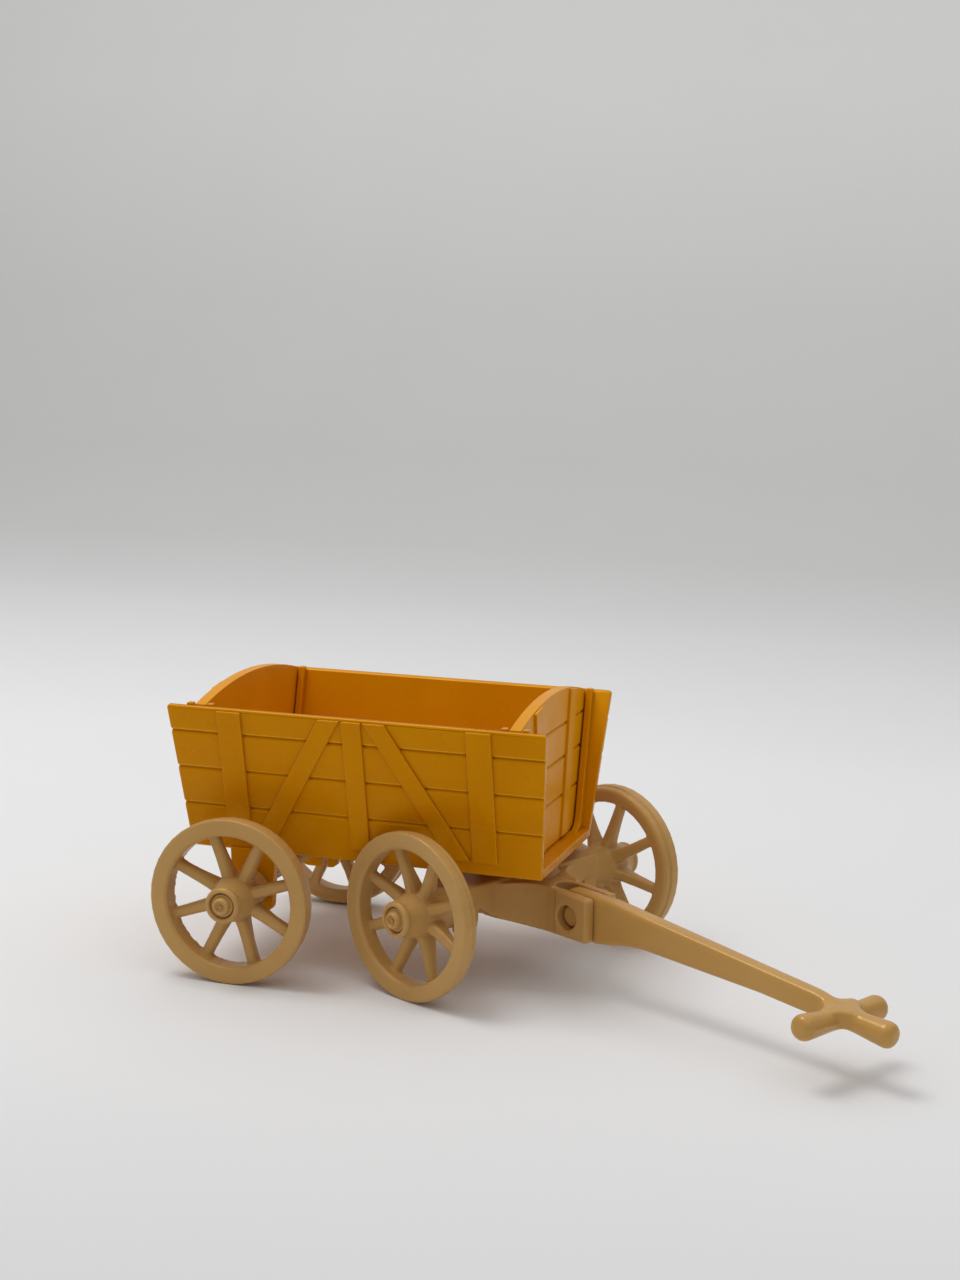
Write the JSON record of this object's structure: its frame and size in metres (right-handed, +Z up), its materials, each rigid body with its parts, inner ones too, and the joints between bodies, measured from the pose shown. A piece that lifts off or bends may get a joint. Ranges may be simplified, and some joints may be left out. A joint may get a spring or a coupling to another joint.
{
  "type": "toy handcart",
  "caption": "Toy handcart with a flared plank-pattern box, lift-out end boards, spoked wheels, a steered front bogie and a hinged drawbar with a cross grip.",
  "frame": {"origin": "middle of the load bed, on the top face of the box's floor", "axes": "+X forwards along the box, towards the drawbar; +Y to the cart's left; +Z up"},
  "size_m": [0.1335, 0.0766, 0.0517],
  "materials": {
    "box_plastic": "satin moulded orange-yellow",
    "board_plastic": "satin moulded orange-yellow",
    "wheel_plastic": "satin moulded light brown",
    "axle_plastic": "satin moulded light brown",
    "bogie_plastic": "satin moulded light brown",
    "drawbar_plastic": "satin moulded light brown, slightly golden"
  },
  "bodies": {
    "cart": {"cart_box": "box_plastic", "rear_axle": "axle_plastic"},
    "front_board": {"front_end_board": "board_plastic"},
    "rear_board": {"rear_end_board": "board_plastic"},
    "bogie": {"front_bogie": "bogie_plastic", "front_axle": "axle_plastic"},
    "drawbar": {"drawbar": "drawbar_plastic"},
    "rear_right_wheel": {"rear_right_wheel": "wheel_plastic"},
    "rear_left_wheel": {"rear_left_wheel": "wheel_plastic"},
    "front_right_wheel": {"front_right_wheel": "wheel_plastic"},
    "front_left_wheel": {"front_left_wheel": "wheel_plastic"}
  },
  "joints": [
    {"name": "steering", "type": "hinge", "parent": "cart", "child": "bogie", "pos_m": [0.024, 0, -0.0041], "axis": [0, 0, 1], "range_deg": [0, 53.4]},
    {"name": "drawbar_pitch", "type": "hinge", "parent": "bogie", "child": "drawbar", "pos_m": [0.03812, -0.0071, -0.0096], "axis": [-0.4818, -0.8763, 0], "range_deg": [-6, 90]},
    {"name": "front_board_lift", "type": "slide", "parent": "cart", "child": "front_board", "axis": [0, 0, 1], "range_m": [0, 0.03]},
    {"name": "rear_board_lift", "type": "slide", "parent": "cart", "child": "rear_board", "axis": [0, 0, 1], "range_m": [0, 0.03]},
    {"name": "rear_right_spin", "type": "hinge", "parent": "cart", "child": "rear_right_wheel", "pos_m": [-0.0209, 0, -0.0082], "axis": [0, 1, 0], "continuous": true},
    {"name": "rear_left_spin", "type": "hinge", "parent": "cart", "child": "rear_left_wheel", "pos_m": [-0.0209, 0, -0.0082], "axis": [0, 1, 0], "continuous": true},
    {"name": "front_right_spin", "type": "hinge", "parent": "bogie", "child": "front_right_wheel", "pos_m": [0.024, 0, -0.0082], "axis": [0.4493, 0.8934, 0], "continuous": true},
    {"name": "front_left_spin", "type": "hinge", "parent": "bogie", "child": "front_left_wheel", "pos_m": [0.024, 0, -0.0082], "axis": [0.4493, 0.8934, 0], "continuous": true}
  ]
}
